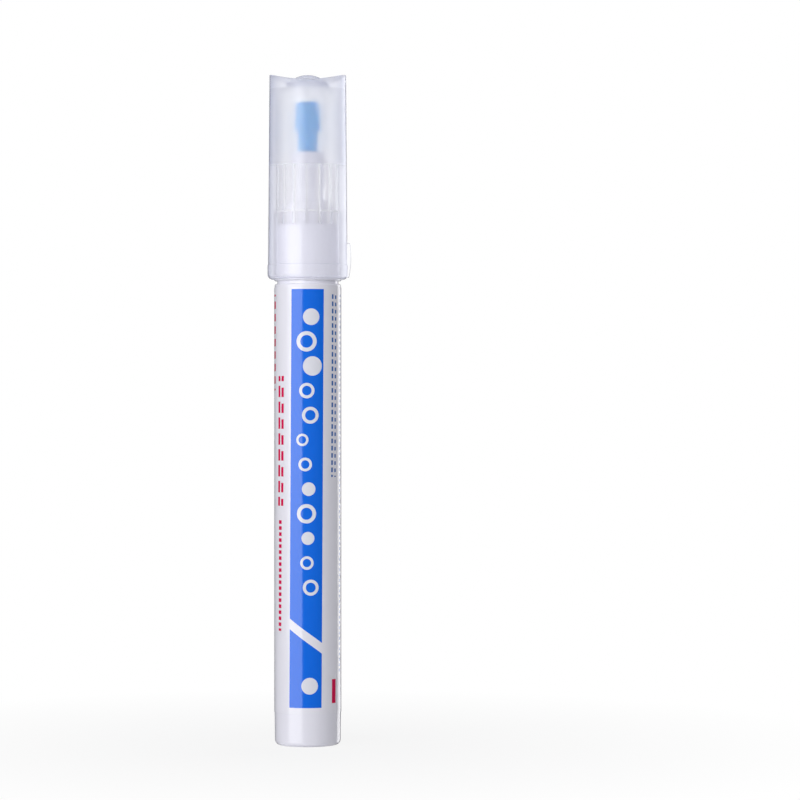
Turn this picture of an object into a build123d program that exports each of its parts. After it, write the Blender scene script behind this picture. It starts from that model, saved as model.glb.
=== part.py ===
from build123d import *
import os
from math import asin, ceil, cos, pi, radians, sin, sqrt, tan

os.makedirs("parts", exist_ok=True)

# A stain remover pen: a tank with a sprung valve behind a chisel nib, under a translucent cap.
# The pen stands on its foot. The origin is the centre of the foot's underside, +Z runs up the axis
# and the front of the label faces -Y. All sizes are in millimetres.

# Barrel, the moulded tank
barrel_height = 96.2
body_diameter = 13.86
foot_draft = 0.08
foot_round = 1.0
rim_round = 0.3
tank_wall = 1.43
tank_floor = 1.4
tank_floor_round = 1.0
rim_wall = 0.93
plug_bore_depth = 12.0
groove_depth = 0.3
groove_height = 1.2
groove_below_rim = 5.0

# Label, a printed film with its ends lapped at the back
film_thickness = 0.08
film_bottom = 6.8
film_below_rim = 0.7
film_lap_width = 3.0

# Front section, the moulding with the collar and the nozzle
collar_gap = 0.65
land_inset = 0.53
collar_proud = 0.095
collar_draft = 0.175
collar_height = 11.75
collar_edge_round = 0.3
shoulder_inset = 1.25
shoulder_height = 4.5
shoulder_edge_round = 0.2
bead_height = 0.7
bead_depth = 0.09
bead_above_collar = 1.7
nozzle_wall = 1.45
nozzle_length = 10.7
nozzle_root_round = 1.7
nozzle_chamfer = 0.5
reservoir_diameter = 6.8
reservoir_roof = 1.1
guide_fin_count = 4
guide_fin_thickness = 0.8
guide_fin_length = 7.0
plug_wall = 1.1

# Nib, a round stem with a chisel head
nib_stem_diameter = 4.2
nib_stem_length = 24.2
nib_tail_chamfer = 0.4
nib_above_nozzle = 4.4
nib_head_overhang = 0.6
nib_head_length = 7.0
nib_head_draft = 0.18
nib_head_edge_round = 0.2
nib_crown_flat = 0.52
nib_crown_left = 5.8
nib_crown_right = 6.4
nib_wedge_azimuth = 29.0
nib_wedge_tilt = 15.5
nib_wedge_start = 1.5
nib_corner_azimuth = 65.0
nib_corner_tilt = 13.9
nib_corner_start = 2.25

# Valve in the plug: cage, soft seat, push rod and spring
cage_wall = 0.8
cage_floor = 1.0
cage_flow_hole_diameter = 1.2
cage_flow_hole_count = 4
cage_flow_hole_inset = 0.85
seat_thickness = 1.2
seat_below_rim = 0.65
seat_bore_gap = 0.2
rod_fin_thickness = 0.8
rod_fin_width = 2.8
rod_tail_diameter = 2.0
rod_tail_below_cage = 2.2
poppet_lap = 1.0
poppet_thickness = 2.4
poppet_chamfer = 0.8
poppet_nose_gap = 0.1
poppet_nose_height = 0.8
spring_wire_diameter = 0.45
spring_standoff = 1.0
spring_wire_sides = 6
spring_turns = 4

# Cap shell, with its lip, lug, inner ribs and scooped crown
nib_headroom = 4.0
cap_lift = 0.35
cap_wall = 1.15
cap_draft = 0.3
lip_height = 3.2
lip_depth = 0.12
lip_round = 1.1
cap_step_rise = 2.8
cap_step_depth = 0.45
cap_step_chamfer = 0.2
crown_thickness = 1.4
scoop_depth = 1.6
cap_rib_count = 16
cap_rib_thickness = 0.5
cap_rib_length = 12.4
lug_width = 2.6
lug_lift = 0.4
lug_length = 7.2
lug_top_depth = 0.58
lug_middle_depth = 0.75
lug_bottom_depth = 0.3
lug_edge_chamfer = 0.2

# Inner cap, the domed tube that closes over the nib
inner_cap_wall = 0.8
inner_cap_lift = 1.7
inner_cap_flange_depth = 0.9
inner_cap_flange_height = 1.1
dome_rise = 2.34
dome_chords = 4
inner_cap_mouth_chamfer = 0.3

# Fluid in the tank, 5 ml of it
fluid_height = 53.6

# A round gets one chord for each such length of its radius
round_chord = 0.6

# Clearances
running_clearance = 0.05
press_clearance = 0.02
cap_clearance = 0.125
rib_clearance = 0.09
tank_clearance = 0.05
join_overlap = 0.2
cut_overrun = 5.0


def arc_radius(half_width, rise):
    """The radius of an arc that rises this far over that half width."""
    return (half_width * half_width + rise * rise) / (2 * rise)


# Radii that follow from the sizes above
body_radius = body_diameter / 2
tank_radius = body_radius - tank_wall
plug_bore_radius = body_radius - rim_wall
plug_radius = plug_bore_radius - running_clearance
pocket_radius = plug_radius - plug_wall
cage_radius = pocket_radius - running_clearance
collar_bottom_radius = body_radius + collar_proud
collar_top_radius = collar_bottom_radius - collar_draft
shoulder_radius = collar_top_radius - shoulder_inset
reservoir_radius = reservoir_diameter / 2
nib_stem_radius = nib_stem_diameter / 2
nib_head_radius = nib_stem_radius + nib_head_overhang
nib_bore_radius = nib_stem_radius + running_clearance
nozzle_radius = nib_bore_radius + nozzle_wall
rod_tail_radius = rod_tail_diameter / 2
rod_hole_radius = rod_tail_radius + running_clearance
seat_bore_radius = rod_fin_width / 2 + seat_bore_gap
cap_bore_radius = collar_bottom_radius + cap_clearance
cap_inner_radius = cap_bore_radius - cap_step_depth
cap_bottom_radius = cap_bore_radius + cap_wall
cap_top_radius = cap_bottom_radius - cap_draft
inner_cap_bore_radius = nozzle_radius + running_clearance
inner_cap_radius = inner_cap_bore_radius + inner_cap_wall
dome_radius = arc_radius(inner_cap_radius, dome_rise)

# Heights that follow from the sizes above
ledge_height = barrel_height - plug_bore_depth
plug_bottom_height = ledge_height + cage_floor
seat_top_height = barrel_height - seat_below_rim
seat_bottom_height = seat_top_height - seat_thickness
poppet_bottom_height = seat_bottom_height - poppet_thickness
collar_bottom_height = barrel_height + collar_gap
collar_top_height = collar_bottom_height + collar_height
shoulder_top_height = collar_top_height + shoulder_height
reservoir_top_height = shoulder_top_height - reservoir_roof
nozzle_top_height = shoulder_top_height + nozzle_length
nib_head_bottom = nozzle_top_height + nib_above_nozzle
nib_head_top = nib_head_bottom + nib_head_length
nib_tail_height = nib_head_bottom - nib_stem_length
cap_bottom_height = collar_bottom_height + cap_lift
cap_step_height = collar_top_height + cap_step_rise
cap_top_height = nib_head_top + nib_headroom + inner_cap_wall
ceiling_height = cap_top_height - scoop_depth - crown_thickness
inner_cap_bottom_height = shoulder_top_height + nozzle_root_round + inner_cap_lift


def rounded(before, here, after, radius):
    """Points on the round of a corner, in chords that are each about round_chord long."""
    to_before = (before - here).normalized()
    to_after = (after - here).normalized()
    half_angle = radians(to_before.get_angle(to_after)) / 2
    inward = (to_before + to_after).normalized()
    centre = here + inward * (radius / sin(half_angle))
    start = here + to_before * (radius / tan(half_angle)) - centre
    end = here + to_after * (radius / tan(half_angle)) - centre
    sweep_angle = pi - 2 * half_angle
    chords = ceil(radius / round_chord)
    points = []
    for step in range(chords + 1):
        angle = sweep_angle * step / chords
        points.append(centre + (start * sin(sweep_angle - angle) + end * sin(angle)) / sin(sweep_angle))
    return points


def turned(*corners):
    """Turn a closed outline of (radius, height) corners about Z; a third value rounds that corner."""
    spots = [Vector(radius, 0, height) for radius, height, *corner_round in corners]
    outline = []
    for index, (radius, height, *corner_round) in enumerate(corners):
        if corner_round:
            after = spots[(index + 1) % len(spots)]
            outline += rounded(spots[index - 1], spots[index], after, *corner_round)
        else:
            outline.append(spots[index])
    return revolve(make_face(Polyline(*outline, close=True)), Axis.Z)


def barrel():
    groove_top = barrel_height - groove_below_rim
    return turned(
        (0, 0),
        (body_radius - foot_draft, 0, foot_round),
        (body_radius, film_bottom),
        (body_radius, barrel_height, rim_round),
        (plug_bore_radius, barrel_height),
        (plug_bore_radius, groove_top),
        (plug_bore_radius + groove_depth, groove_top),
        (plug_bore_radius, groove_top - groove_height),
        (plug_bore_radius, ledge_height),
        (tank_radius, ledge_height),
        (tank_radius, tank_floor, tank_floor_round),
        (0, tank_floor),
    )


def label_sleeve():
    film_height = barrel_height - film_below_rim - film_bottom
    film = Cylinder(body_radius + film_thickness, film_height)
    second_layer = Cylinder(body_radius + 2 * film_thickness, film_height)
    lap = second_layer & Pos(0, body_radius, 0) * Box(film_lap_width, body_radius, film_height)
    sleeve = film + lap - Cylinder(body_radius, film_height + 2 * cut_overrun)
    return Pos(0, 0, film_bottom + film_height / 2) * sleeve


def front_section():
    bead_middle = collar_top_height + bead_above_collar
    bead_half = bead_height / 2
    catch_top = barrel_height - groove_below_rim - running_clearance
    catch_bottom = catch_top - groove_height + 2 * running_clearance
    root_room = shoulder_radius - nozzle_radius - 3 / 2 * shoulder_edge_round
    body = turned(
        (nib_bore_radius, nozzle_top_height),
        (nib_bore_radius, reservoir_top_height),
        (reservoir_radius, reservoir_top_height),
        (reservoir_radius, seat_top_height),
        (pocket_radius, seat_top_height),
        (pocket_radius, plug_bottom_height),
        (plug_radius, plug_bottom_height),
        (plug_radius, catch_bottom),
        (plug_radius + groove_depth / 2, catch_top),
        (plug_radius, catch_top),
        (plug_radius, barrel_height),
        (body_radius - land_inset, barrel_height),
        (body_radius - land_inset, collar_bottom_height),
        (collar_bottom_radius, collar_bottom_height, collar_edge_round),
        (collar_top_radius, collar_top_height, collar_edge_round),
        (shoulder_radius, collar_top_height),
        (shoulder_radius, bead_middle - bead_half),
        (shoulder_radius + bead_depth, bead_middle),
        (shoulder_radius, bead_middle + bead_half),
        (shoulder_radius, shoulder_top_height, shoulder_edge_round),
        (nozzle_radius, shoulder_top_height, min(nozzle_root_round, root_room)),
        (nozzle_radius, nozzle_top_height - nozzle_chamfer),
        (nozzle_radius - nozzle_chamfer, nozzle_top_height),
    )
    fin_depth = reservoir_radius - nib_bore_radius + join_overlap
    fin_middle = Pos(
        nib_bore_radius + fin_depth / 2,
        0,
        reservoir_top_height + join_overlap - (guide_fin_length + join_overlap) / 2,
    )
    fin = fin_middle * Box(fin_depth, guide_fin_thickness, guide_fin_length + join_overlap)
    return body + [spot * fin for spot in PolarLocations(0, guide_fin_count)]


def outward_plane(azimuth, tilt, height):
    """A plane that meets the nib head's side at a height and leans in above it; azimuth 0 is the front."""
    level = Vector(sin(radians(azimuth)), -cos(radians(azimuth)), 0)
    normal = level * cos(radians(tilt)) + Vector(0, 0, sin(radians(tilt)))
    return Plane(origin=level * nib_head_radius + Vector(0, 0, height), z_dir=normal)


def nib():
    top_radius = nib_head_radius - nib_head_draft
    head = turned(
        (0, nib_head_bottom),
        (nib_head_radius, nib_head_bottom, nib_head_edge_round),
        (top_radius, nib_head_top, top_radius - nib_crown_flat),
        (0, nib_head_top),
    )
    wedge_height = nib_head_bottom + nib_wedge_start
    slope = asin((nib_crown_right - nib_crown_left) / (2 * nib_head_radius))
    crown_middle = nib_head_bottom + (nib_crown_left + nib_crown_right) / 2
    cuts = [
        Plane(origin=(0, 0, crown_middle), z_dir=(-sin(slope), 0, cos(slope))),
        outward_plane(nib_wedge_azimuth, nib_wedge_tilt, wedge_height),
        outward_plane(nib_wedge_azimuth + 180, nib_wedge_tilt, wedge_height),
        outward_plane(nib_corner_azimuth, nib_corner_tilt, nib_head_bottom + nib_corner_start),
    ]
    for cut in cuts:
        head = split(head, bisect_by=cut, keep=Keep.BOTTOM)
    stem = turned(
        (0, nib_tail_height),
        (nib_stem_radius - nib_tail_chamfer, nib_tail_height),
        (nib_stem_radius, nib_tail_height + nib_tail_chamfer),
        (nib_stem_radius, nib_head_bottom + join_overlap),
        (0, nib_head_bottom + join_overlap),
    )
    return head + stem


def valve_housing():
    inside = cage_radius - cage_wall
    cage = turned(
        (rod_hole_radius, ledge_height),
        (plug_radius, ledge_height),
        (plug_radius, plug_bottom_height),
        (cage_radius, plug_bottom_height),
        (cage_radius, seat_bottom_height),
        (inside, seat_bottom_height),
        (inside, plug_bottom_height),
        (rod_hole_radius, plug_bottom_height),
    )
    flow_hole = Cylinder(cage_flow_hole_diameter / 2, cage_floor + 2 * cut_overrun)
    holes = PolarLocations(inside - cage_flow_hole_inset, cage_flow_hole_count)
    return cage - [Pos(0, 0, ledge_height) * spot * flow_hole for spot in holes]


def valve_seat():
    return turned(
        (seat_bore_radius, seat_bottom_height),
        (cage_radius, seat_bottom_height),
        (cage_radius, seat_top_height),
        (seat_bore_radius, seat_top_height),
    )


def valve_stem():
    poppet_radius = seat_bore_radius + poppet_lap
    tail_bottom = ledge_height - rod_tail_below_cage
    nose_top = seat_bottom_height + poppet_nose_height
    rod = turned(
        (0, tail_bottom),
        (rod_tail_radius, tail_bottom),
        (rod_tail_radius, poppet_bottom_height),
        (poppet_radius, poppet_bottom_height),
        (poppet_radius, seat_bottom_height - poppet_chamfer),
        (poppet_radius - poppet_chamfer, seat_bottom_height),
        (seat_bore_radius - poppet_nose_gap, seat_bottom_height),
        (rod_fin_thickness / 2, nose_top),
        (0, nose_top),
    )
    fin_height = nib_tail_height - seat_bottom_height
    fin = Pos(0, 0, seat_bottom_height + fin_height / 2) * Box(rod_fin_width, rod_fin_thickness, fin_height)
    return rod + fin + Rot(Z=90) * fin


def biarc(start, start_way, end, end_way):
    """Two arcs that leave start along start_way and reach end along end_way."""
    across = end - start
    both = start_way + end_way
    spread = 2 * (1 - start_way.dot(end_way))
    along = across.dot(both)
    reach = (sqrt(along * along + spread * across.dot(across)) - along) / spread
    joint = (start + end + (start_way - end_way) * reach) / 2
    joint_way = (joint - start - start_way * reach).normalized()
    return [TangentArc(start, joint, tangent=start_way), TangentArc(joint, end, tangent=joint_way)]


def valve_spring():
    spring_bottom = plug_bottom_height + spring_wire_diameter / 2
    spring_top = poppet_bottom_height - spring_wire_diameter / 2
    pitch = (spring_top - spring_bottom) / spring_turns
    radius = rod_tail_radius + spring_standoff
    ways = []
    spots = []
    for half_turn in range(2 * spring_turns + 1):
        angle = pi * half_turn
        spots.append(Vector(radius * cos(angle), radius * sin(angle), spring_bottom + pitch * half_turn / 2))
        way = Vector(-sin(angle) * 2 * pi * radius, cos(angle) * 2 * pi * radius, pitch)
        ways.append(way.normalized())
    arcs = []
    for index in range(2 * spring_turns):
        arcs += biarc(spots[index], ways[index], spots[index + 1], ways[index + 1])
    wire = RegularPolygon(spring_wire_diameter / 2, spring_wire_sides)
    wire_section = Plane(origin=spots[0], z_dir=ways[0]) * wire
    print("valve_spring gap between turns", round(pitch - spring_wire_diameter, 3))
    return sweep(wire_section, path=Wire(arcs))


def lug():
    """The anti-roll lug at the cap's lip, on the +X side."""
    root = cap_top_radius - 2 * join_overlap
    face = cap_bottom_radius
    bottom = cap_bottom_height + lug_lift
    top = bottom + lug_length
    outline = make_face([
        Line((root, 0, bottom), (root, 0, top)),
        Line((root, 0, top), (face + lug_top_depth, 0, top)),
        ThreePointArc(
            (face + lug_top_depth, 0, top),
            (face + lug_middle_depth, 0, (bottom + top) / 2),
            (face + lug_bottom_depth, 0, bottom),
        ),
        Line((face + lug_bottom_depth, 0, bottom), (root, 0, bottom)),
    ])
    body = extrude(outline, amount=lug_width / 2, dir=(0, 1, 0), both=True)
    side_edges = body.faces().sort_by(Axis.X)[-1].edges().filter_by(lambda edge: edge.length > lug_width)
    return chamfer(side_edges, lug_edge_chamfer)


def cap_shell():
    bore = cap_bore_radius
    inside = cap_inner_radius
    lip_top = cap_bottom_height + lip_height
    body = turned(
        (0, cap_bottom_height),
        (cap_bottom_radius + lip_depth, cap_bottom_height, lip_round),
        (cap_bottom_radius + lip_depth, lip_top - lip_depth),
        (cap_bottom_radius, lip_top),
        (cap_top_radius, cap_top_height),
        (0, cap_top_height),
    )
    scoop_radius = arc_radius(cap_top_radius, scoop_depth)
    scoop_middle = Pos(0, 0, cap_top_height - scoop_depth + scoop_radius)
    body -= scoop_middle * Rot(X=90) * Cylinder(scoop_radius, 4 * cap_top_radius)
    body += lug()
    body -= turned(
        (0, cap_bottom_height - cut_overrun),
        (bore, cap_bottom_height - cut_overrun),
        (bore, cap_step_height - cap_step_chamfer),
        (bore - cap_step_chamfer, cap_step_height),
        (inside, cap_step_height),
        (inside, ceiling_height),
        (0, ceiling_height),
    )
    rib_start = shoulder_radius + bead_depth + rib_clearance
    rib_end = (bore + cap_bottom_radius) / 2
    lower_rib = Pos((rib_start + rib_end) / 2, 0, collar_top_height + cap_rib_length / 2)
    rib = lower_rib * Box(rib_end - rib_start, cap_rib_thickness, cap_rib_length)
    body += [spot * rib for spot in PolarLocations(0, cap_rib_count)]
    hole_radius = inner_cap_radius + press_clearance
    return body - Pos(0, 0, ceiling_height) * Cylinder(hole_radius, 2 * (crown_thickness + scoop_depth))


def dome(radius, across):
    """Points from the rim of a dome to its top, about the inner cap's centre."""
    centre_height = cap_top_height - dome_radius
    rim_angle = asin(across / radius)
    points = []
    for step in range(dome_chords + 1):
        angle = rim_angle * (1 - step / dome_chords)
        points.append((radius * sin(angle), centre_height + radius * cos(angle)))
    return points


def inner_cap():
    outer = inner_cap_radius
    bore = inner_cap_bore_radius
    flange = outer + inner_cap_flange_depth
    flange_bottom = ceiling_height - inner_cap_flange_height
    bottom = inner_cap_bottom_height
    mouth = inner_cap_mouth_chamfer
    inside = dome(dome_radius - inner_cap_wall, bore)
    return turned(
        (bore + mouth, bottom),
        (outer, bottom),
        (outer, flange_bottom),
        (flange, flange_bottom),
        (flange, ceiling_height),
        (outer, ceiling_height),
        *dome(dome_radius, outer),
        *reversed(inside),
        (bore, bottom + mouth),
    )


def stain_remover_fluid():
    radius = tank_radius - tank_clearance
    level = tank_floor + fluid_height
    return turned(
        (0, tank_floor),
        (radius, tank_floor, tank_floor_round),
        (radius, level),
        (0, level),
    )


for make in (
    barrel,
    label_sleeve,
    front_section,
    nib,
    valve_housing,
    valve_seat,
    valve_stem,
    valve_spring,
    cap_shell,
    inner_cap,
    stain_remover_fluid,
):
    export_step(make(), "parts/" + make.__name__ + ".step")
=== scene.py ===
# %% [markdown]
# A stain remover pen, dressed for its photograph.
# The imported CAD model gives every size and place, so it's loaded first.
# The pieces that show are then modelled again with finer rounds, in metres, right where the CAD has them.

# %% Load the frame
from math import asin, cos, degrees, pi, radians, sin, sqrt

import bpy
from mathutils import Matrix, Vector


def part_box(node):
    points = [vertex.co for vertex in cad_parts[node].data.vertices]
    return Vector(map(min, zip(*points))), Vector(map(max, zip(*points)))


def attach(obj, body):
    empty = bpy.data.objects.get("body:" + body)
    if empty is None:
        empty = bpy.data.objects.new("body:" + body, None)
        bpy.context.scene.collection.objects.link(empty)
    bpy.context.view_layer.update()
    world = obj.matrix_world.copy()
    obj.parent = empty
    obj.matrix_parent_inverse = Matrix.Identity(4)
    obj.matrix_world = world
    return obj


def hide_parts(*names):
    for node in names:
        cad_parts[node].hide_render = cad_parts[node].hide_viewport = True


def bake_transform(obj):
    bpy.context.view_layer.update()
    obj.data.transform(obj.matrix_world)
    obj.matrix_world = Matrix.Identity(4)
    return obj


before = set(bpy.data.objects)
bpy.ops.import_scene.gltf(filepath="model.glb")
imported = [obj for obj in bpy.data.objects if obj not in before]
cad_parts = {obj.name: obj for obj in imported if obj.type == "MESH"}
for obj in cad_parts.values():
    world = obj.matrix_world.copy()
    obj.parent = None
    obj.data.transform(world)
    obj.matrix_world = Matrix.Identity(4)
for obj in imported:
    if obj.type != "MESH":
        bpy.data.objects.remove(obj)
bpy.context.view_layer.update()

mm = 0.001
merge_distance = 0.002 * mm

# %% [markdown]
# Nearly every piece of a pen is round, and a real one is turned or moulded in a turned die.
# A cylinder with loop cuts could be scaled ring by ring, but a drawn outline that is spun round the axis
# gives each shoulder, round and bore in one go, just as a lathe does. So these helpers draw and spin.

# %% Helpers that draw an outline and spin it
def start_fresh():
    if bpy.context.object and bpy.context.object.mode != "OBJECT":
        bpy.ops.object.mode_set(mode="OBJECT")
    bpy.ops.object.select_all(action="DESELECT")


def round_points(centre, radius, start, end, steps):
    """Points on a round, from one angle to another in degrees, as (radius, height) in millimetres."""
    angles = [radians(start + (end - start) * part / steps) for part in range(steps + 1)]
    return [(centre[0] + radius * cos(a), centre[1] + radius * sin(a)) for a in angles]


def lower_edge(radius, height, size, steps):
    """Rounds the outer edge of an underside, from below to the side."""
    return round_points((radius - size, height + size), size, -90, 0, steps)


def upper_edge(radius, height, size, steps):
    """Rounds the outer edge of a top, from the side to above."""
    return round_points((radius - size, height - size), size, 0, 90, steps)


def spin_outline(name, outline, columns=128):
    """Draws the outline in the XZ plane, point by point, and spins it round the pen's axis."""
    start_fresh()
    bpy.ops.mesh.primitive_plane_add(size=mm, location=(0, 0, 0))
    piece = bpy.context.object
    piece.name = name
    bpy.ops.object.mode_set(mode="EDIT")
    bpy.ops.mesh.select_mode(type="VERT")
    bpy.ops.mesh.select_all(action="SELECT")
    bpy.ops.mesh.merge(type="CENTER")
    here = Vector((0, 0, 0))
    for index, (radius, height) in enumerate(outline):
        there = Vector((radius * mm, 0, height * mm))
        if index == 0:
            bpy.ops.transform.translate(value=there - here)
        else:
            bpy.ops.mesh.extrude_region_move(TRANSFORM_OT_translate={"value": there - here})
        here = there
    bpy.ops.mesh.select_all(action="SELECT")
    bpy.ops.mesh.spin(steps=columns, angle=2 * pi, center=(0, 0, 0), axis=(0, 0, 1))
    close_up()
    return piece


def close_up():
    """Merges what lies on the seam or the axis, and turns every face outwards."""
    bpy.ops.mesh.select_all(action="SELECT")
    bpy.ops.mesh.remove_doubles(threshold=merge_distance)
    bpy.ops.mesh.normals_make_consistent(inside=False)


def choose_faces(piece, wanted):
    """In edit mode, selects only the faces that wanted says yes to, by centre in millimetres and normal."""
    bpy.ops.object.mode_set(mode="EDIT")
    bpy.ops.mesh.select_mode(type="FACE")
    bpy.ops.mesh.select_all(action="DESELECT")
    bpy.ops.object.mode_set(mode="OBJECT")
    for face in piece.data.polygons:
        face.select = wanted(face.center / mm, face.normal)
    bpy.ops.object.mode_set(mode="EDIT")


def choose_points(piece, wanted):
    """In edit mode, selects only the points that wanted says yes to, by place in millimetres and index."""
    bpy.ops.object.mode_set(mode="EDIT")
    bpy.ops.mesh.select_mode(type="VERT")
    bpy.ops.mesh.select_all(action="DESELECT")
    bpy.ops.object.mode_set(mode="OBJECT")
    for point in piece.data.vertices:
        point.select = wanted(point.co / mm, point.index)
    bpy.ops.object.mode_set(mode="EDIT")


def finish_piece(piece, body, node, smooth_angle=28):
    """Smooths what is round, hangs the piece on its body, and hides the CAD node it replaces."""
    start_fresh()
    bpy.context.view_layer.objects.active = piece
    piece.select_set(True)
    bpy.ops.object.shade_smooth_by_angle(angle=radians(smooth_angle))
    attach(piece, body)
    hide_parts(node)
    print(piece.name, len(piece.data.polygons), "faces, rides on", body)


# %% [markdown]
# The barrel is the tank of the pen: a moulded tube with a closed flat foot and an open top.
# Its foot has a 1 mm round and a slight draft up to the label, as a moulded tube needs to leave its die.
# It could stay the CAD node, but the chords of that round would show, so it's spun with a fine round.

# %% Barrel
barrel_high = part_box("barrel")[1]
barrel_radius = barrel_high.x / mm
barrel_top = barrel_high.z / mm
label_low, label_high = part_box("label_sleeve")
label_bottom = label_low.z / mm
label_top = label_high.z / mm
foot_radius = barrel_radius - 0.08
foot_round = 1
draft_top = label_bottom - 0.12
rim_round = 0.3
plug_bore = 6.0
ledge = barrel_top - 12
tank_bore = 5.5
tank_floor = 1.4
floor_round = 1
barrel = spin_outline("barrel_tube", [
    (0, 0),
    *lower_edge(foot_radius, 0, foot_round, 8),
    (barrel_radius, draft_top),
    (barrel_radius, label_bottom),
    (barrel_radius, label_top),
    *upper_edge(barrel_radius, barrel_top, rim_round, 4),
    (plug_bore, barrel_top),
    (plug_bore, ledge),
    (tank_bore, ledge),
    *reversed(lower_edge(tank_bore, tank_floor, floor_round, 4)),
    (0, tank_floor),
])
finish_piece(barrel, "pen_body", "barrel")

# %% [markdown]
# The label is a printed film, wrapped once round the barrel with its end lapped over its start at the back.
# A printed picture on the barrel would look flat. A real film has an edge that catches light,
# so the sleeve is a thin closed ring, and the lap is a strip of its faces raised by one more film.

# %% Label film with its lap
film_thickness = 0.08
film_outside = barrel_radius + film_thickness
worn_across = 0.02
worn_tall = 0.03
lap_half_width = 1.45
lap_rise = 0.07
film = spin_outline("label_film", [
    (barrel_radius, label_bottom),
    (film_outside - worn_across, label_bottom),
    (film_outside, label_bottom + worn_tall),
    (film_outside, label_top - worn_tall),
    (film_outside - worn_across, label_top),
    (barrel_radius, label_top),
    (barrel_radius, label_bottom),
], columns=144)


def under_lap(place, normal):
    on_outside = normal.y > 0.9 and place.y > film_outside - 0.2
    return on_outside and abs(place.x) < lap_half_width


choose_faces(film, under_lap)
bpy.ops.mesh.extrude_region_shrink_fatten(TRANSFORM_OT_shrink_fatten={"value": lap_rise * mm})
finish_piece(film, "pen_body", "label_sleeve")

# %% [markdown]
# The front section is one white moulding: a plug that snaps into the barrel, a collar as wide as the
# barrel, a shoulder with a bead that the cap slides over, and the nozzle that holds the nib.
# The thin dark gap under the collar is real: the collar stops just short of the barrel's rim.

# %% Front section
front_low, front_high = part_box("front_section")
nozzle_top = front_high.z / mm
plug_bottom = front_low.z / mm
collar_bottom = barrel_top + 0.65
collar_top = collar_bottom + 11.75
collar_foot = 7.025
collar_head = 6.854
collar_round = 0.3
shoulder_top = collar_top + 4.5
nozzle_bore = 2.15
valve_bore = 3.4
valve_roof = shoulder_top - 1.1
plug_inside = 4.85
plug_outside = 5.95
plug_roof = barrel_top - 0.65
flange = 6.4
neck = 5.6
neck_root = 0.05
bead = (5.24, collar_top + 1.7)
bead_round = 0.45
shoulder_round = 0.2
nozzle_radius = 3.6
nozzle_root = 1.7
nozzle_round = 0.4
mouth = 0.1
front = spin_outline("front_moulding", [
    (nozzle_bore, nozzle_top - mouth),
    (nozzle_bore, valve_roof),
    (valve_bore, valve_roof),
    (valve_bore, plug_roof),
    (plug_inside, plug_roof),
    (plug_inside, plug_bottom),
    (plug_outside, plug_bottom),
    (plug_outside, barrel_top),
    (flange, barrel_top),
    (flange, collar_bottom),
    *lower_edge(collar_foot, collar_bottom, collar_round, 5),
    *upper_edge(collar_head, collar_top, collar_round, 5),
    (neck + neck_root, collar_top),
    (neck, collar_top + neck_root),
    *round_points(bead, bead_round, -37, 37, 6),
    *upper_edge(neck, shoulder_top, shoulder_round, 4),
    *round_points((nozzle_radius + nozzle_root, shoulder_top + nozzle_root), nozzle_root, 270, 180, 10),
    *upper_edge(nozzle_radius, nozzle_top, nozzle_round, 5),
    (nozzle_bore + mouth, nozzle_top),
    (nozzle_bore, nozzle_top - mouth),
])
finish_piece(front, "pen_body", "front_section")

# %% [markdown]
# Behind the nib a small steel spring holds the valve shut, and it shortens when the nib is pressed.
# It's wound again: a Screw modifier sweeps a round section into four turns.

# %% Valve spring, wound
spring_low, spring_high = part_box("valve_spring")
wire_radius = 0.225
wire_sides = 12
coil_radius = spring_high.x / mm - wire_radius
coil_bottom = spring_low.z / mm + wire_radius
coil_top = spring_high.z / mm - wire_radius
turns = 4
steps_a_turn = 32
start_fresh()
bpy.ops.mesh.primitive_circle_add(
    vertices=wire_sides,
    radius=wire_radius * mm,
    location=(coil_radius * mm, 0, coil_bottom * mm),
    rotation=(pi / 2, 0, 0),
)
coil = bpy.context.object
coil.name = "valve_coil"
bpy.ops.object.transform_apply(location=True, rotation=True, scale=True)
wind = coil.modifiers.new("turns", "SCREW")
wind.axis = "Z"
wind.iterations = turns
wind.screw_offset = (coil_top - coil_bottom) / turns * mm
wind.steps = steps_a_turn
wind.render_steps = steps_a_turn
bpy.ops.object.modifier_apply(modifier=wind.name)
bpy.ops.object.mode_set(mode="EDIT")
bpy.ops.mesh.select_all(action="SELECT")
bpy.ops.mesh.fill_holes(sides=0)
close_up()
bpy.ops.object.mode_set(mode="OBJECT")
bpy.ops.object.shade_smooth_by_angle(angle=radians(40))
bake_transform(coil)
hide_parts("valve_spring")
coil_length = round(coil_top - coil_bottom, 2)
print(coil.name, len(coil.data.polygons), "faces,", coil_length, "mm between its ends")

# %% [markdown]
# The nib is a hard blue chisel: a round stem and a wider head, with two sloping faces that meet in a wedge,
# a third small face at the front corner, and a crown that slopes a little from right to left.
# Filing a turned blank is how such a shape comes about, so the head is spun and then cut by four planes.

# %% Nib blank, spun
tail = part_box("nib")[0].z / mm
head_bottom = nozzle_top + 4.4
head_top = head_bottom + 7
stem_radius = 2.1
tail_slope = 0.4
stem_fillet = 0.12
head_radius = 2.7
head_round = 0.2
top_flat = 0.55
top_round = 2
nib = spin_outline("chisel_nib", [
    (0, tail),
    (stem_radius - tail_slope, tail),
    (stem_radius, tail + tail_slope),
    (stem_radius, head_bottom - stem_fillet),
    *round_points((stem_radius + stem_fillet, head_bottom - stem_fillet), stem_fillet, 180, 90, 4)[1:],
    *lower_edge(head_radius, head_bottom, head_round, 5),
    *round_points((top_flat, head_top - top_round), top_round, 4, 90, 14),
    (0, head_top),
], columns=160)
print("the nib blank is", round(head_top - tail, 2), "mm long")

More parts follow.
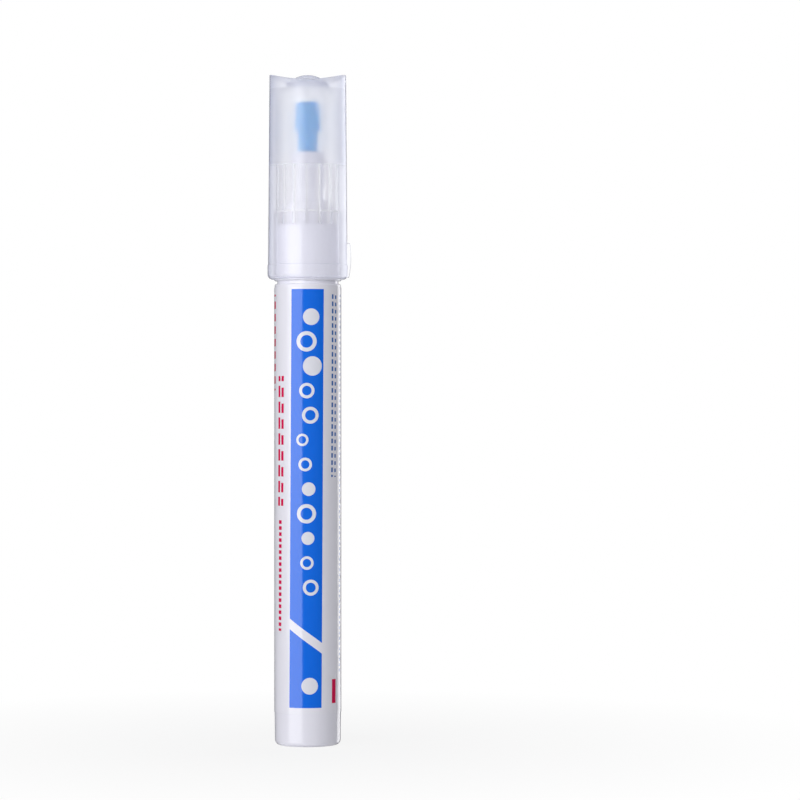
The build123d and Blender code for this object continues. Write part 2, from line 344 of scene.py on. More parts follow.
# %% Nib faces, cut and softened
def facing(azimuth, tilt):
    """The outward direction of a cut; azimuth 0 is the front and 90 is the right."""
    level = Vector((sin(radians(azimuth)), -cos(radians(azimuth)), 0))
    return level, level * cos(radians(tilt)) + Vector((0, 0, sin(radians(tilt))))


crown_height = 6.1
crown_fall = 0.6
crown_slope = asin(crown_fall / (2 * head_radius))
wedge_faces = (  # azimuth, tilt, and where it starts above the head's bottom
    (29, 15.5, 1.5),
    (209, 15.5, 1.5),
    (65, 13.9, 2.25),
)
crown_normal = Vector((-sin(crown_slope), 0, cos(crown_slope)))
cuts = [(Vector((0, 0, head_bottom + crown_height)), crown_normal)]
for azimuth, tilt, start in wedge_faces:
    level, normal = facing(azimuth, tilt)
    cuts.append((level * head_radius + Vector((0, 0, head_bottom + start)), normal))
for place, normal in cuts:
    bpy.ops.mesh.select_all(action="SELECT")
    bpy.ops.mesh.bisect(
        plane_co=place * mm,
        plane_no=normal,
        use_fill=True,
        clear_outer=True,
        threshold=1e-7,
    )
close_up()
bpy.ops.object.mode_set(mode="OBJECT")
edge_wear = 0.14
soften = nib.modifiers.new("soft edges", "BEVEL")
soften.width = edge_wear * mm
soften.segments = 3
soften.limit_method = "ANGLE"
soften.angle_limit = radians(12)
soften.use_clamp_overlap = True
bpy.ops.object.modifier_apply(modifier=soften.name)
finish_piece(nib, "nib_body", "nib", smooth_angle=40)

# %% [markdown]
# The cap is a translucent moulding. Inside are sixteen fine ribs that steady it on the neck, and a step
# in the bore. Outside it has a rounded lip, one lug that stops the pen from rolling, and a crown scooped
# from front to back. Ribs could be separate blades, but light bends through one closed wall, so they're
# extruded out of the bore.

# %% Cap shell, spun
cap_low, cap_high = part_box("cap_shell")
cap_bottom = cap_low.z / mm
cap_top = cap_high.z / mm
ceiling = cap_top - 3
step = collar_top + 2.8
rib_top = collar_top + 12.4
wide_bore = 7.15
step_bore = 6.95
narrow_bore = 6.7
step_slope = 0.2
entry = 0.1
lip_radius = 8.41
lip_round = 1.1
lip_top = cap_bottom + 2.95
lip_shoulder = 0.15
wall_bottom = (8.298, cap_bottom + 3.25)
crown_radius = 8.0
crown_round = 0.16
crown_hole = 4.46
ring_pitch = 0.26
crown_rings = [(crown_radius - crown_round - ring_pitch * ring, cap_top) for ring in range(1, 13)]
cap = spin_outline("cap_wall", [
    (wide_bore + entry, cap_bottom),
    *lower_edge(lip_radius, cap_bottom, lip_round, 8),
    (lip_radius, lip_top),
    *round_points((lip_radius - lip_shoulder, lip_top), lip_shoulder, 0, 70, 3)[1:],
    wall_bottom,
    *upper_edge(crown_radius, cap_top, crown_round, 4),
    *crown_rings,
    (crown_hole, cap_top),
    (crown_hole, ceiling),
    (narrow_bore, ceiling),
    (narrow_bore, rib_top),
    (narrow_bore, step),
    (step_bore, step),
    (wide_bore, step - step_slope),
    (wide_bore, collar_top),
    (wide_bore, cap_bottom + entry),
    (wide_bore + entry, cap_bottom),
], columns=144)
print("the cap's wall is", round(cap_top - cap_bottom, 2), "mm tall")

# %% Cap ribs, extruded from the bore
rib_count = 16
rib_pitch = 2 * pi / rib_count
half_rib = rib_pitch / 9
rib_crest = 5.79


def under_rib(place, normal):
    turn = Vector((place.x, place.y)).angle_signed(Vector((1, 0))) % rib_pitch
    in_rib = min(turn, rib_pitch - turn) < half_rib
    on_bore = place.xy.length < wide_bore + 0.05
    return in_rib and on_bore and collar_top < place.z < rib_top


choose_faces(cap, under_rib)
bpy.ops.mesh.extrude_region_move(TRANSFORM_OT_translate={"value": (0, 0, 0)})
bpy.ops.mesh.select_mode(type="VERT")
bpy.ops.object.mode_set(mode="OBJECT")
crest = {point.index for point in cap.data.vertices if point.select}
for wall_radius in (wide_bore, step_bore, narrow_bore):
    choose_points(cap, lambda place, index: index in crest and abs(place.xy.length - wall_radius) < 0.02)
    share = rib_crest / wall_radius
    bpy.ops.transform.resize(value=(share, share, 1), center_override=(0, 0, 0))
close_up()
bpy.ops.object.mode_set(mode="OBJECT")
print("the cap has", len(crest), "points on its rib crests")

# %% [markdown]
# The lug and the scoop are where the cap stops being round. The scoop's floor is bowed like a big cylinder
# that lies front to back. Cutting it would leave a sharp rim, so the crown is pressed down instead: each of
# its points has a weight for how deep the scoop is there, and Displace lowers it by that share. The rim
# stays round.

# %% Cap scoop, pressed into the crown
scoop_depth = 1.6
scoop_half_width = 8
scoop_radius = (scoop_half_width ** 2 + scoop_depth ** 2) / (2 * scoop_depth)
crown_from = cap_top - 0.5
depths = cap.vertex_groups.new(name="scoop")
for point in cap.data.vertices:
    if point.co.z > crown_from * mm:
        across = point.co.x / mm
        rise = scoop_radius - sqrt(scoop_radius * scoop_radius - across * across)
        depths.add([point.index], 1 - rise / scoop_depth, "REPLACE")
press = cap.modifiers.new("scoop", "DISPLACE")
press.vertex_group = "scoop"
press.direction = "Z"
press.mid_level = 0
press.strength = -scoop_depth * mm
bpy.ops.object.modifier_apply(modifier=press.name)
cap.vertex_groups.clear()
print("the scoop is", scoop_depth, "mm deep")

# %% [markdown]
# The lug keeps the pen from rolling away. It's a small block with a bowed face and rounded edges,
# made on its own and joined to the cap's wall by one boolean, so that the two are a single closed skin.

# %% Cap lug, shaped
lug_width = 2.6
lug_height = 7.2
lug_bottom = cap_bottom + 0.4
lug_middle = lug_bottom + lug_height / 2
lug_face = 8.6
lug_rows = 8
lug_draft = 0.28
lug_belly = 0.31
lug_set_back = 0.003
start_fresh()
bpy.ops.mesh.primitive_cube_add(size=mm, location=(0, 0, 0))
lug = bpy.context.object
bpy.ops.object.mode_set(mode="EDIT")
bpy.ops.transform.resize(value=(1, lug_width, lug_height))
bpy.ops.transform.translate(value=((lug_face - 0.5) * mm, 0, lug_middle * mm))
bpy.ops.mesh.select_all(action="SELECT")
bpy.ops.mesh.subdivide(number_cuts=lug_rows - 1)
for row in range(lug_rows + 1):
    share = row / lug_rows
    row_height = lug_bottom + lug_height * share
    bow = lug_draft * share + lug_belly * 4 * share * (1 - share) - lug_set_back
    choose_points(lug, lambda place, index: place.x > lug_face - 0.1 and abs(place.z - row_height) < 0.1)
    bpy.ops.transform.translate(value=(bow * mm, 0, 0))
bpy.ops.object.mode_set(mode="OBJECT")
lug_round = 0.22
edge_round = lug.modifiers.new("edge round", "BEVEL")
edge_round.width = lug_round * mm
edge_round.segments = 3
edge_round.angle_limit = radians(40)
bpy.ops.object.modifier_apply(modifier=edge_round.name)
print("the lug is", lug_height, "mm tall and has", len(lug.data.polygons), "faces")

# %% Cap lug, joined to the wall
start_fresh()
bpy.context.view_layer.objects.active = cap
cap.select_set(True)
weld = cap.modifiers.new("lug", "BOOLEAN")
weld.operation = "UNION"
weld.solver = "EXACT"
weld.object = lug
bpy.ops.object.modifier_apply(modifier=weld.name)
bpy.data.objects.remove(lug)
bpy.ops.object.mode_set(mode="EDIT")
close_up()
bpy.ops.object.mode_set(mode="OBJECT")
finish_piece(cap, "cap_body", "cap_shell")

# %% [markdown]
# The inner cap is a second clear moulding: a tube that closes over the nozzle, so that the nib can't dry
# out, with a flange under the crown and a domed end that fills the crown's hole. The dome shows above the
# scoop. It's one outline again, from the top of the dome, down the outside, and back up the bore.

# %% Inner cap
tube_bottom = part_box("inner_cap")[0].z / mm
tube_radius = 4.45
tube_bore = 3.65
tube_edge = 0.1
tube_mouth = 0.3
tube_flange = 5.35
flange_bottom = ceiling - 1.1
dome_rise = 2.34
dome_radius = (tube_radius ** 2 + dome_rise ** 2) / (2 * dome_rise)
dome_centre = (0, cap_top - dome_radius)
inside_radius = dome_radius - (tube_radius - tube_bore)
rim_angle = degrees(asin(tube_radius / dome_radius))
inside_angle = degrees(asin(tube_bore / inside_radius))
inner = spin_outline("inner_cap_tube", [
    *round_points(dome_centre, dome_radius, 90, 90 - rim_angle, 12),
    (tube_radius, ceiling),
    (tube_flange, ceiling),
    (tube_flange, flange_bottom),
    (tube_radius, flange_bottom),
    (tube_radius, tube_bottom + tube_edge),
    (tube_radius - tube_edge, tube_bottom),
    (tube_bore + tube_mouth, tube_bottom),
    (tube_bore, tube_bottom + tube_mouth),
    *round_points(dome_centre, inside_radius, 90 - inside_angle, 90, 8),
], columns=112)
finish_piece(inner, "cap_body", "inner_cap")

# %% [markdown]
# Every finish starts from one Principled shader. What changes over a surface is mixed in from textures
# in Object coordinates, which stay put on the piece. What is the same all over is set on the shader itself.
# The first helpers add a node or do a sum, and the next make a plastic with the faint mottle and ripple
# that mouldings have.

# %% Helpers for finishes
def add_node(material, kind, **settings):
    """Adds a node to a material, or to the world, which has a node tree as well."""
    node = material.node_tree.nodes.new(kind)
    for name, value in settings.items():
        setattr(node, name, value)
    return node


def feed(material, socket, value):
    """Links a socket to the output that feeds it, or sets it to a plain value."""
    if isinstance(value, bpy.types.NodeSocket):
        material.node_tree.links.new(value, socket)
    else:
        socket.default_value = value


def maths(material, operation, *values):
    node = add_node(material, "ShaderNodeMath", operation=operation)
    for socket, value in zip(node.inputs, values):
        feed(material, socket, value)
    return node.outputs[0]


def blend_colours(material, share, first, second):
    """A colour mix. That node mixes other types too, so its colours are inputs 6 and 7 and output 2."""
    node = add_node(material, "ShaderNodeMix", data_type="RGBA")
    feed(material, node.inputs[0], share)
    feed(material, node.inputs[6], first)
    feed(material, node.inputs[7], second)
    return node.outputs[2]


def on_piece(material):
    """The place on the piece itself, in metres."""
    return add_node(material, "ShaderNodeTexCoord").outputs["Object"]


def noise(material, scale, detail=3.0):
    texture = add_node(material, "ShaderNodeTexNoise")
    texture.inputs["Scale"].default_value = scale
    texture.inputs["Detail"].default_value = detail
    feed(material, texture.inputs["Vector"], on_piece(material))
    return texture.outputs["Fac"]


# %% Moulded plastic
plastic_ior = 1.46
mottle_scale = 220
grain_scale = 2600
ripple_height = 0.05


def shader_of(material):
    return material.node_tree.nodes["Principled BSDF"]


def moulded(name, light, dark, roughness, ripple=0.02):
    """A moulded plastic: a faint mottle of two near colours, and a ripple too fine to see as a shape."""
    material = bpy.data.materials.new(name)
    material.use_nodes = True
    shader = shader_of(material)
    shader.inputs["IOR"].default_value = plastic_ior
    mottle = noise(material, mottle_scale)
    feed(material, shader.inputs["Base Color"], blend_colours(material, mottle, dark, light))
    grain = noise(material, grain_scale, 2)
    low, high = roughness
    feed(material, shader.inputs["Roughness"], maths(material, "MULTIPLY_ADD", grain, high - low, low))
    bump = add_node(material, "ShaderNodeBump")
    bump.inputs["Strength"].default_value = ripple
    bump.inputs["Distance"].default_value = ripple_height * mm
    feed(material, bump.inputs["Height"], grain)
    feed(material, shader.inputs["Normal"], bump.outputs["Normal"])
    print(name, "finish")
    return material


def dress(name, material):
    piece = bpy.data.objects[name]
    piece.data.materials.clear()
    piece.data.materials.append(material)


# %% [markdown]
# The white mouldings are polypropylene or ABS with a cool tint. They are smooth enough to mirror a lamp
# with a clear edge, so the roughness is low. The valve parts inside are matt, and the washer is soft.

# %% White mouldings and hidden pieces
white_barrel = moulded("white barrel", (0.9, 0.895, 0.98, 1), (0.88, 0.875, 0.96, 1), (0.1, 0.16))
white_front = moulded("white front section", (0.89, 0.885, 0.97, 1), (0.87, 0.865, 0.95, 1), (0.1, 0.17))
valve_white = moulded("white valve parts", (0.8, 0.8, 0.8, 1), (0.76, 0.76, 0.77, 1), (0.4, 0.5))
seat_rubber = moulded("soft washer", (0.5, 0.5, 0.52, 1), (0.45, 0.45, 0.47, 1), (0.6, 0.75))
spring_steel = moulded("drawn wire", (0.6, 0.6, 0.62, 1), (0.5, 0.5, 0.52, 1), (0.25, 0.35))
shader_of(spring_steel).inputs["Metallic"].default_value = 1.0
clear_fluid = moulded("clear fluid", (0.9, 0.96, 1.0, 1), (0.88, 0.95, 1.0, 1), (0.02, 0.04))
shader_of(clear_fluid).inputs["Transmission Weight"].default_value = 1.0
shader_of(clear_fluid).inputs["IOR"].default_value = 1.34
for part, finish in (
    ("barrel_tube", white_barrel),
    ("barrel", white_barrel),
    ("front_moulding", white_front),
    ("front_section", white_front),
    ("valve_housing", valve_white),
    ("valve_stem", valve_white),
    ("valve_seat", seat_rubber),
    ("valve_coil", spring_steel),
    ("valve_spring", spring_steel),
    ("stain_remover_fluid", clear_fluid),
):
    dress(part, finish)

# %% [markdown]
# The nib is coloured through, so light goes into it and comes back: it glows where it's lit and
# deepens where it turns away. A little subsurface and transmission under a hard gloss gives that.

# %% Blue nib
nib_blue = moulded("blue nib", (0.01, 0.46, 1.0, 1), (0.008, 0.42, 0.98, 1), (0.16, 0.22), ripple=0.03)
for setting, value in (
    ("Transmission Weight", 0.1),
    ("Subsurface Weight", 0.5),
    ("Subsurface Radius", (0.2, 0.6, 1.0)),
    ("Subsurface Scale", 1.2 * mm),
):
    shader_of(nib_blue).inputs[setting].default_value = value
dress("chisel_nib", nib_blue)
dress("nib", nib_blue)

# %% [markdown]
# The cap is plastic with a little milk in it, thin enough to see the nib through, and matt inside. Full
# refraction would make it look like glass, so each surface is mixed from three parts that light really
# meets. Most passes on, blurred by a frosted refraction that hardly bends. Some is scattered by the milk,
# forwards more than back. A little is mirrored, most where it grazes. Two things change over the cap, by
# its own shape: below the ribs' tops the outer wall is polished, so the ribs show crisply, and they and the
# bore's step are thick, so they hold more milk and show as pale lines. Their milk is also tinted white, a
# painted highlight for light guided in the plastic. Light that grazes goes straight on,
# since a rough refraction would lose it there and draw dark edges.

# %% Translucent caps: where a place is
skin_radius = 7.4
skin_height = ceiling + 0.8
to_mm = 1000.0


def in_band(material, value, low, high):
    """1 where the value lies between the two limits, and 0 elsewhere."""
    above = maths(material, "GREATER_THAN", value, low)
    return maths(material, "MULTIPLY", above, maths(material, "LESS_THAN", value, high))


def place_in_mm(material):
    """X, Y and Z on the piece, in millimetres."""
    spot = add_node(material, "ShaderNodeSeparateXYZ")
    feed(material, spot.inputs[0], on_piece(material))
    return [maths(material, "MULTIPLY", output, to_mm) for output in spot.outputs]


def across_and_up(material):
    """The distance from the pen's axis, and the height."""
    x, y, z = place_in_mm(material)
    squares = maths(material, "MULTIPLY_ADD", x, x, maths(material, "MULTIPLY", y, y))
    return maths(material, "SQRT", squares), z


def outer_skin(material, across, z):
    """1 on a cap's outside, its crown included, and 0 inside."""
    outside = maths(material, "GREATER_THAN", across, skin_radius)
    return maths(material, "MAXIMUM", outside, maths(material, "GREATER_THAN", z, skin_height))


# %% Translucent caps: milk that scatters, and clear plastic that passes light on
white = (1, 1, 1, 1)
grazed_tint = (0.62, 0.64, 0.78, 1)
forward_share = 0.8
solid_forward_share = 0.5
frosted_blur = 0.8
polished_blur = 0.35
frost_ior = 1.05


def mix_shaders(material, share, first, second):
    node = add_node(material, "ShaderNodeMixShader")
    feed(material, node.inputs[0], share)
    feed(material, node.inputs[1], first)
    feed(material, node.inputs[2], second)
    return node.outputs[0]


def milk_of(material, polished, thick_and_painted_highlight):
    """Scatters light back and more of it forwards. It is whiter where the cap is polished, and white on its
    thick parts as a painted highlight.
    """
    shader = shader_of(material)
    tint = shader.inputs["Base Color"].links[0].from_socket
    # The white tint on the thick ribs and step is a painted highlight for light guided in the plastic.
    whiter = maths(material, "MAXIMUM", thick_and_painted_highlight, maths(material, "MULTIPLY", polished, 0.5))
    tint = blend_colours(material, whiter, tint, white)
    feed(material, shader.inputs["Base Color"], tint)
    through = add_node(material, "ShaderNodeBsdfTranslucent")
    feed(material, through.inputs["Color"], tint)
    less = solid_forward_share - forward_share
    forwards = maths(material, "MULTIPLY_ADD", thick_and_painted_highlight, less, forward_share)
    return mix_shaders(material, forwards, shader.outputs[0], through.outputs[0])


def clear_of(material, away, steep, polished, skin):
    """Passes light on, blurred by frost, but straight where it grazes or the skin is polished."""
    tint = blend_colours(material, maths(material, "POWER", steep, 1.5), white, grazed_tint)
    frost = add_node(material, "ShaderNodeBsdfRefraction")
    frost.inputs["IOR"].default_value = frost_ior
    feed(material, frost.inputs["Color"], tint)
    blur = maths(material, "MULTIPLY_ADD", polished, polished_blur - frosted_blur, frosted_blur)
    feed(material, frost.inputs["Roughness"], blur)
    straight = add_node(material, "ShaderNodeBsdfTransparent")
    feed(material, straight.inputs["Color"], tint)
    unblurred = maths(material, "MAXIMUM", away, maths(material, "MULTIPLY", polished, skin))
    return mix_shaders(material, unblurred, frost.outputs[0], straight.outputs[0])


# %% Translucent caps: the two finishes
milk_light = (0.81, 0.82, 0.905, 1)
milk_dark = (0.79, 0.8, 0.885, 1)
polished_veil = 0.05
thick_wall = 0.65
thick_crown = 0.12
mirror_blur = 0.22
face_glint = 0.028
edge_glint = 0.9
# The rib and step zones also get a white tint in their milk, a painted highlight.
thick_zones = (  # from and to across, from and to in height, and how much more it hides
    (5.5, 6.6, collar_top, rib_top + 0.1, thick_wall),
    (6.6, 7.2, step - 0.35, step + 0.15, thick_wall),
    (4.0, 9.0, ceiling - 0.1, cap_top + 0.1, thick_crown),
)


def milky(name, veil, rim, zones=()):
    """Veil is how much one surface hides, rim what its outer edge adds, and zones where it adds more."""
    material = moulded(name, milk_light, milk_dark, (0.3, 0.4), 0.01)
    shader_of(material).inputs["Specular IOR Level"].default_value = 0.0
    across, z = across_and_up(material)
    slant = add_node(material, "ShaderNodeLayerWeight")
    slant.inputs["Blend"].default_value = 0.5
    away = slant.outputs["Facing"]
    skin = outer_skin(material, across, z)
    steep = maths(material, "MULTIPLY", away, skin)
    polished = maths(material, "LESS_THAN", z, rib_top)
    hides = maths(material, "MULTIPLY_ADD", maths(material, "POWER", steep, 2.0), rim, veil)
    hides = maths(material, "MULTIPLY_ADD", polished, polished_veil, hides)
    thick_and_painted_highlight = 0.0
    for start, end, low, high, more in zones:
        zone = in_band(material, across, start, end)
        zone = maths(material, "MULTIPLY", zone, in_band(material, z, low, high))
        hides = maths(material, "MULTIPLY_ADD", zone, more, hides)
        # These thick zones get the painted highlight: milk_of tints their milk white.
        if more == thick_wall:
            thick_and_painted_highlight = maths(material, "MAXIMUM", zone, thick_and_painted_highlight)
    clear = clear_of(material, away, steep, polished, skin)
    body = mix_shaders(material, hides, clear, milk_of(material, polished, thick_and_painted_highlight))
    mirror = add_node(material, "ShaderNodeBsdfGlossy")
    mirror.inputs["Roughness"].default_value = mirror_blur
    glint = maths(material, "MULTIPLY_ADD", maths(material, "POWER", steep, 5.0), edge_glint, face_glint)
    surface = mix_shaders(material, glint, body, mirror.outputs[0])
    feed(material, material.node_tree.nodes["Material Output"].inputs["Surface"], surface)
    return material


cap_clear = milky("translucent cap", veil=0.15, rim=0.4, zones=thick_zones)
inner_clear = milky("translucent inner cap", veil=0.08, rim=0.3)
for part, finish in (
    ("cap_wall", cap_clear),
    ("cap_shell", cap_clear),
    ("inner_cap_tube", inner_clear),
    ("inner_cap", inner_clear),
):
    dress(part, finish)

# %% [markdown]
# The label is white film with a broad blue stripe, cut by one white slash near the foot. The stripe carries
# pale bubbles, and rows of small dashes run beside it, where a label has its text. All of it is print,
# flat on the film, so it's drawn by sums on the angle round the pen and the height, not built in relief.

# %% Label print: the places
film_print = moulded("printed film", (0.9, 0.895, 0.975, 1), (0.885, 0.88, 0.96, 1), (0.08, 0.13), 0.01)
paper = shader_of(film_print).inputs["Base Color"].links[0].from_socket


def work(operation, *values):
    return maths(film_print, operation, *values)


def between(value, low, high):
    return in_band(film_print, value, low, high)


def both(first, second):
    return work("MULTIPLY", first, second)


def either(first, second):
    return work("MAXIMUM", first, second)


film_x, film_y, height = place_in_mm(film_print)
angle = work("MULTIPLY", work("ARCTAN2", film_x, work("MULTIPLY", film_y, -1.0)), degrees(1))
lean_a_millimetre = -0.0495
lean_at_foot = 3.2
lean = work("MULTIPLY_ADD", height, lean_a_millimetre, lean_at_foot)
turned = work("ADD", angle, lean)
print("the print leans", lean_a_millimetre, "degrees a millimetre")

# %% Label print: stripe and slash
stripe_half_angle = 28.6
stripe_bottom = 8.2
stripe_top = 95.0
stripe = both(
    between(turned, -stripe_half_angle, stripe_half_angle),
    between(height, stripe_bottom, stripe_top),
)
slash_fall = -0.089
slash_height = 22.9
slash_half_width = 1.1
slash_line = work("MULTIPLY_ADD", angle, slash_fall, slash_height)
from_slash = work("ABSOLUTE", work("SUBTRACT", height, slash_line))
stripe = both(stripe, work("GREATER_THAN", from_slash, slash_half_width))
print("the stripe runs from", stripe_bottom, "to", stripe_top, "mm")

# %% Label print: bubbles, one in each length of the stripe
bubble_pitch = 5.1
bubble_stray = 1.2
least_radius = 1.1
more_radius = 1.1
ring_bore = 0.62
ring_share = 0.6
along = work("MULTIPLY", turned, film_outside * radians(1))
cell = work("FLOOR", work("DIVIDE", height, bubble_pitch))
chance = add_node(film_print, "ShaderNodeTexWhiteNoise", noise_dimensions="1D")
feed(film_print, chance.inputs["W"], cell)
chances = add_node(film_print, "ShaderNodeSeparateColor")
feed(film_print, chances.inputs[0], chance.outputs["Color"])
stray, size, kind = chances.outputs  # how far it lies off the middle, how big it is, and ring or disc
up = work("SUBTRACT", height, work("MULTIPLY", work("ADD", cell, 0.5), bubble_pitch))
side = work("SUBTRACT", along, work("MULTIPLY_ADD", stray, 2 * bubble_stray, -bubble_stray))
reach = work("SQRT", work("ADD", both(up, up), both(side, side)))
bubble_radius = work("MULTIPLY_ADD", size, more_radius, least_radius)
disc = work("LESS_THAN", reach, bubble_radius)
off_centre = work("GREATER_THAN", reach, work("MULTIPLY", bubble_radius, ring_bore))
filled = work("SUBTRACT", 1.0, work("LESS_THAN", kind, ring_share))
bubbles = both(disc, either(off_centre, filled))
upper_cells = between(height, 6 * bubble_pitch, 18 * bubble_pitch)
foot_cell = between(height, 2 * bubble_pitch, 3 * bubble_pitch)
bubbles = both(bubbles, either(upper_cells, foot_cell))
print("a bubble every", bubble_pitch, "mm")

# %% Label print: rows of dashes
def dashes(first_angle, last_angle, bottom, top, pitch, inked):
    """A column of small upright dashes between two angles and two heights."""
    beat = work("FRACT", work("DIVIDE", height, pitch))
    column = both(between(turned, first_angle, last_angle), between(height, bottom, top))
    return both(column, work("LESS_THAN", beat, inked))


def all_dashes(columns):
    ink = 0.0
    for column in columns:
        ink = either(dashes(*column), ink)
    return ink


red = all_dashes((
    (-59, -53, 50, 77, 3.3, 0.72),
    (-50, -44, 50, 77, 3.3, 0.6),
    (-56, -48, 24, 47.5, 1.25, 0.6),
    (-86, -72, 74, 94, 2.6, 0.6),
    (50, 60, 9, 14, 5, 1.0),
))
blue = all_dashes((
    (46, 50, 56, 94, 1.5, 0.65),
    (54, 58, 56, 94, 1.5, 0.5),
    (72, 76, 15, 94, 1.1, 0.55),
))
colour = paper
for ink, ink_colour in (
    (stripe, (0.008, 0.165, 0.86, 1)),
    (both(stripe, bubbles), (0.84, 0.85, 0.93, 1)),
    (red, (0.72, 0.01, 0.09, 1)),
    (blue, (0.05, 0.16, 0.5, 1)),
):
    colour = blend_colours(film_print, ink, colour, ink_colour)
feed(film_print, shader_of(film_print).inputs["Base Color"], colour)
dress("label_film", film_print)
dress("label_sleeve", film_print)
print("rows of dashes")

# %% [markdown]
# The photograph was taken in a white tent: one big soft box at the front left, which the barrel mirrors as
# a broad pale band, a weak fill from the front, and a narrow strip behind the right, which draws the thin
# white line near that edge. A rear fill keeps the pen's back from going dull. The back light shines through
# the cap from the right rear, as the photograph shows, and reaches nothing else, as if a flag stood before
# the barrel.

# %% Lamps
lamp_height = 0.075


def on_ring(azimuth, distance):
    """A place round the pen and the turn that faces it; azimuth 0 is the camera's side and 90 the right."""
    turn = radians(azimuth)
    return (distance * sin(turn), -distance * cos(turn), lamp_height), (pi / 2, 0, turn)


def softbox(name, azimuth, distance, width, tall, radiance):
    """A lamp that faces the pen, as bright from any distance as radiance says."""
    lamp = bpy.data.lights.new(name, "AREA")
    lamp.shape = "RECTANGLE"
    lamp.size = width
    lamp.size_y = tall
    lamp.energy = radiance * pi * width * tall
    holder = bpy.data.objects.new(name, lamp)
    bpy.context.scene.collection.objects.link(holder)
    holder.location, holder.rotation_euler = on_ring(azimuth, distance)
    print(name, "lamp,", round(lamp.energy, 2), "W")
    return holder


softbox("soft box", azimuth=-42, distance=0.8, width=0.72, tall=0.8, radiance=2.9)
fill = softbox("fill", azimuth=2, distance=0.95, width=1.3, tall=1.2, radiance=0.95)
strip = softbox("strip", azimuth=140, distance=0.8, width=0.4, tall=0.8, radiance=2.8)
strip.visible_diffuse = False
rear_fill = softbox("rear fill", azimuth=150, distance=0.9, width=1.4, tall=1.2, radiance=1.2)
back = softbox("back light", azimuth=128, distance=0.8, width=0.8, tall=0.8, radiance=4.2)
for unseen in (fill, rear_fill, back):
    unseen.visible_glossy = False
    unseen.visible_transmission = False
caps_only = bpy.data.collections.new("lit from behind")
for name in ("cap_wall", "inner_cap_tube"):
    caps_only.objects.link(bpy.data.objects[name])
back.light_linking.receiver_collection = caps_only

# %% [markdown]
# A white pen in a white tent has no edges of its own. A photographer gives it some with black cards just
# out of the picture. Here dark cards that only mirrors see stand behind the pen on both sides and give it
# its fine outline, and a third keeps the right front from shining.

# %% Dark cards
card_black = moulded("black card", (0.02, 0.02, 0.025, 1), (0.015, 0.015, 0.02, 1), (0.8, 0.9))


def card(name, azimuth, distance, width, tall):
    """A dark card that faces the pen, for mirrors alone."""
    start_fresh()
    place, turn = on_ring(azimuth, distance)
    bpy.ops.mesh.primitive_plane_add(size=1, location=place, rotation=turn)
    piece = bpy.context.object
    piece.name = name
    piece.scale = (width, tall, 1)
    piece.data.materials.append(card_black)
    piece.visible_camera = False
    piece.visible_diffuse = False
    piece.visible_transmission = False
    piece.visible_shadow = False
    print(name, "stands", distance, "m off")


card("left card", azimuth=-127, distance=1.0, width=2.4, tall=1.2)
card("right card", azimuth=146, distance=1.0, width=1.3, tall=1.2)
card("front card", azimuth=48, distance=0.6, width=2.3, tall=1.2)

# %% [markdown]
# The tent itself is the world. A white world at full strength would light the pen flat from all sides, so
# the pen gets a quarter of it, while the camera, a mirror or clear plastic sees it plain white. Behind a
# surface that has scattered the light once, it's seen a little dimmer, or the milky cap would glow.

# %% World
def map_range(material, value, limits):
    node = add_node(material, "ShaderNodeMapRange")
    feed(material, node.inputs["Value"], value)
    for name, limit in limits.items():
        node.inputs[name].default_value = limit
    return node.outputs[0]


def white_to_rays(material):
    """1 for rays from the camera, a mirror or clear plastic, 0.6 after a bounce, and 0 for the rest."""
    ray = add_node(material, "ShaderNodeLightPath")
    seen = ray.outputs["Is Camera Ray"]
    for kind_of_ray in ("Is Glossy Ray", "Is Transmission Ray"):
        seen = maths(material, "MAXIMUM", seen, ray.outputs[kind_of_ray])
    direct = map_range(material, ray.outputs["Diffuse Depth"], {"To Min": 1.0, "To Max": 0.6})
    return maths(material, "MULTIPLY", seen, direct)


tent_light = 0.27
world = bpy.data.worlds.new("white tent")
world.use_nodes = True
bpy.context.scene.world = world
background = world.node_tree.nodes["Background"]
background.inputs["Color"].default_value = white
strength = maths(world, "MULTIPLY_ADD", white_to_rays(world), 1 - tent_light, tent_light)
feed(world, background.inputs["Strength"], strength)
print("the tent lights the pen at", tent_light, "and is seen at 1")

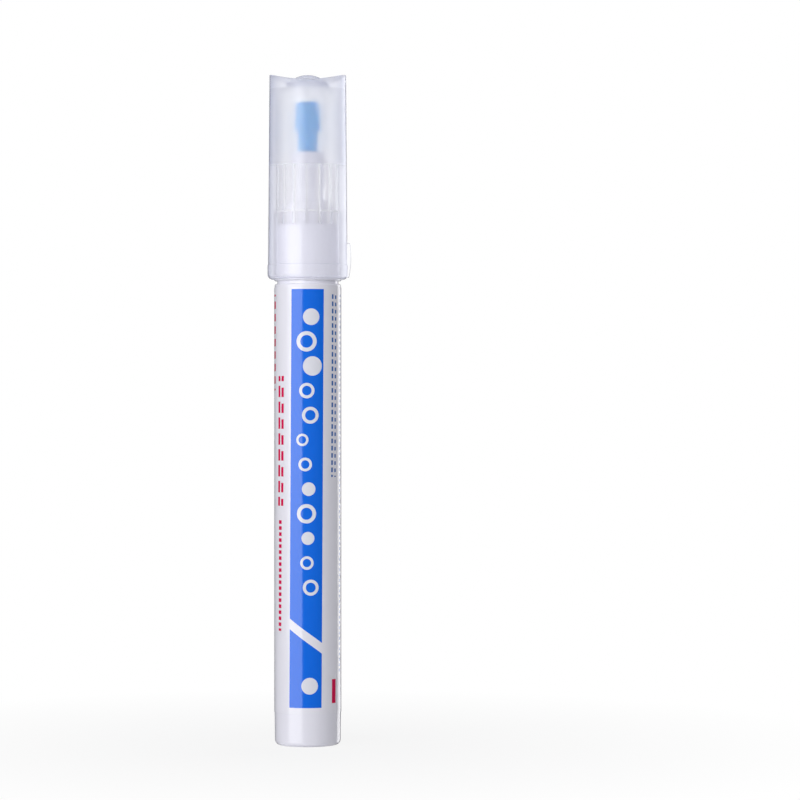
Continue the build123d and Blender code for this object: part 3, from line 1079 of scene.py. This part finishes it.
# %% [markdown]
# The pen stands on a plain pale sheet. Near the pen the sheet keeps a faint soft shadow, and further out
# it fades into the white of the tent, so that no edge or horizon shows.

# %% Floor
start_fresh()
bpy.ops.mesh.primitive_circle_add(vertices=96, radius=2.5, fill_type="NGON", location=(0, 0, 0))
floor = bpy.context.object
floor.name = "floor"
sheet = bpy.data.materials.new("pale sheet")
sheet.use_nodes = True
paint = shader_of(sheet)
paint.inputs["Base Color"].default_value = (0.8, 0.8, 0.82, 1)
paint.inputs["Roughness"].default_value = 0.7
glow = add_node(sheet, "ShaderNodeEmission")
glow.inputs["Strength"].default_value = 1.0
far_off = add_node(sheet, "ShaderNodeVectorMath", operation="LENGTH")
feed(sheet, far_off.inputs[0], on_piece(sheet))
fade_starts = 0.015
fade_ends = 0.12
fade_limits = {"From Min": fade_starts, "From Max": fade_ends, "To Min": 0.85, "To Max": 1.0}
fade = map_range(sheet, far_off.outputs["Value"], fade_limits)
faded = maths(sheet, "MULTIPLY", white_to_rays(sheet), fade)
surface = mix_shaders(sheet, faded, paint.outputs[0], glow.outputs[0])
feed(sheet, sheet.node_tree.nodes["Material Output"].inputs["Surface"], surface)
floor.data.materials.append(sheet)
floor.visible_glossy = False
print("the floor fades into the tent between", fade_starts, "and", fade_ends, "m")

# %% [markdown]
# The photograph looks straight ahead with a long lens, from a little over half a metre, level with the
# pen's middle and a little to its right. Its plain white comes from the Standard view transform.

# %% Camera and view
lens = bpy.data.cameras.new("camera")
lens.lens = 135
lens.sensor_width = 36
lens.clip_start = 0.01
camera = bpy.data.objects.new("camera", lens)
bpy.context.scene.collection.objects.link(camera)
camera.location = (0.0193, -0.628, 0.072)
camera.rotation_euler = (pi / 2, 0, 0)
bpy.context.scene.camera = camera
bpy.context.scene.view_settings.view_transform = "Standard"
print("the camera stands", round(-camera.location.y, 3), "m off")

# %% [markdown]
# Dressing the pen must not make it bigger than its CAD model.

# %% Finish with nothing selected
start_fresh()
